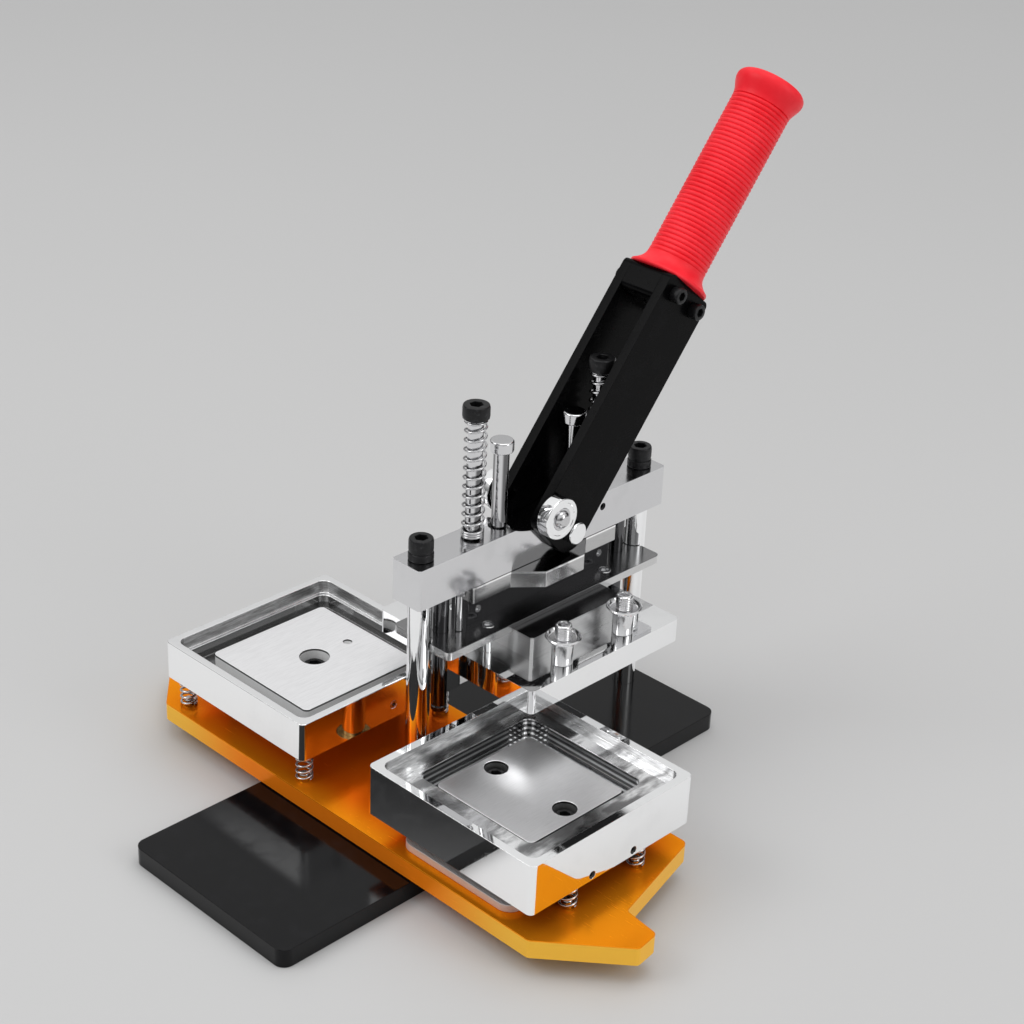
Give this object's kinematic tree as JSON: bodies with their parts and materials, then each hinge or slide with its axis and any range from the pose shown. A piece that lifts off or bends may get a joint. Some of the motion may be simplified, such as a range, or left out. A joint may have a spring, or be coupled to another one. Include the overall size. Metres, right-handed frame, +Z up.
{
  "type": "fridge magnet maker",
  "caption": "Hand lever press for square fridge magnets: a turning plate brings each sprung die under a guided upper die that the lever's rollers push down.",
  "frame": {"origin": "where the die plate's turning axis meets the underside of the base plate", "axes": "+X along the die plate at rest towards the second die, +Y along the base plate and the beam towards the far column, +Z up"},
  "size_m": [0.3442, 0.3917, 0.3445],
  "materials": {
    "black_enamel": "gloss black enamel",
    "black_lever": "satin black",
    "mirror_chrome": "polished mirror plating",
    "plain_steel": "fine ground",
    "satin_steel": "satin, blasted",
    "dark_ground_steel": "ground, darker",
    "spring_steel": "bright drawn wire",
    "black_oxide": "oiled black oxide",
    "dark_rod": "darkened and polished",
    "orange_anodised": "fine brushed, orange anodised",
    "bearing_brass": "turned",
    "red_rubber": "soft satin"
  },
  "bodies": {
    "frame": {"base_plate": "black_enamel", "near_column": "mirror_chrome", "far_column": "mirror_chrome", "thrust_washer": "bearing_brass", "beam": "mirror_chrome", "beam_bushes": "plain_steel", "beam_set_screw": "black_oxide", "column_collars": "black_oxide", "column_cap_screws": "black_oxide", "near_guide_rod": "dark_rod", "far_guide_rod": "dark_rod", "stop_screw": "plain_steel", "fulcrum_pin": "mirror_chrome", "fulcrum_clip": "plain_steel"},
    "die_table": {"die_plate": "orange_anodised", "pivot_bush": "bearing_brass", "core_a": "satin_steel", "insert_a": "satin_steel", "insert_a_screw": "black_oxide", "core_b": "satin_steel", "insert_b": "satin_steel", "insert_b_screws": "black_oxide", "spring_pegs_a": "plain_steel", "spring_pegs_b": "plain_steel"},
    "first_collar": {"collar_a": "mirror_chrome", "collar_a_set_screw": "plain_steel", "springs_a": "spring_steel"},
    "second_collar": {"collar_b": "mirror_chrome", "collar_b_set_screws": "black_oxide", "springs_b": "spring_steel"},
    "ram": {"upper_die": "mirror_chrome", "upper_die_screws": "black_oxide", "die_block": "dark_ground_steel", "die_bushes": "mirror_chrome", "dished_washers": "mirror_chrome", "die_bush_screws": "plain_steel", "guide_plate": "mirror_chrome", "guide_plate_screws": "plain_steel", "standoffs": "mirror_chrome", "ram_block": "dark_ground_steel", "ram_set_screws": "plain_steel", "yoke": "mirror_chrome", "return_rods": "mirror_chrome", "return_rod_heads": "black_oxide", "guide_pins": "mirror_chrome", "near_return_spring": "spring_steel", "far_return_spring": "spring_steel"},
    "lever": {"near_fork_plate": "black_lever", "far_fork_plate": "black_lever", "lever_block": "black_lever", "lever_block_screws": "black_oxide", "grip_screw": "black_oxide", "grip_rod": "plain_steel", "grip": "red_rubber", "near_bearing_core": "plain_steel", "far_bearing_core": "plain_steel", "roller_screws": "plain_steel"},
    "near_wheel": {"near_roller": "mirror_chrome"},
    "far_wheel": {"far_roller": "mirror_chrome"}
  },
  "joints": [
    {"name": "table_turn", "type": "hinge", "parent": "frame", "child": "die_table", "pos_m": [0, 0, 0.0158], "axis": [0, 0, 1], "range_deg": [-90, 90]},
    {"name": "first_collar_slide", "type": "slide", "parent": "die_table", "child": "first_collar", "axis": [0, 0, 1], "range_m": [-0.0075, 0], "stiffness_N_per_m": 6000, "springref_m": 0.004, "deforming": ["springs_a"]},
    {"name": "second_collar_slide", "type": "slide", "parent": "die_table", "child": "second_collar", "axis": [0, 0, 1], "range_m": [-0.0075, 0], "stiffness_N_per_m": 6000, "springref_m": 0.005, "deforming": ["springs_b"]},
    {"name": "ram_slide", "type": "slide", "parent": "frame", "child": "ram", "axis": [0, 0, 1], "range_m": [-0.0084, 0], "stiffness_N_per_m": 3000, "springref_m": 0.01, "deforming": ["near_return_spring", "far_return_spring"]},
    {"name": "lever_swing", "type": "hinge", "parent": "frame", "child": "lever", "pos_m": [0, 0.089, 0.1335], "axis": [1, 0, 0], "range_deg": [0, 70]},
    {"name": "near_roller_spin", "type": "hinge", "parent": "lever", "child": "near_wheel", "pos_m": [0.021, 0.07272, 0.1485], "axis": [1, 0, 0], "continuous": true},
    {"name": "far_roller_spin", "type": "hinge", "parent": "lever", "child": "far_wheel", "pos_m": [-0.021, 0.07272, 0.1485], "axis": [1, 0, 0], "continuous": true}
  ],
  "couplings": [
    {"joint": "ram_slide", "follows": "lever_swing", "m_per_rad": -0.0068755}
  ]
}
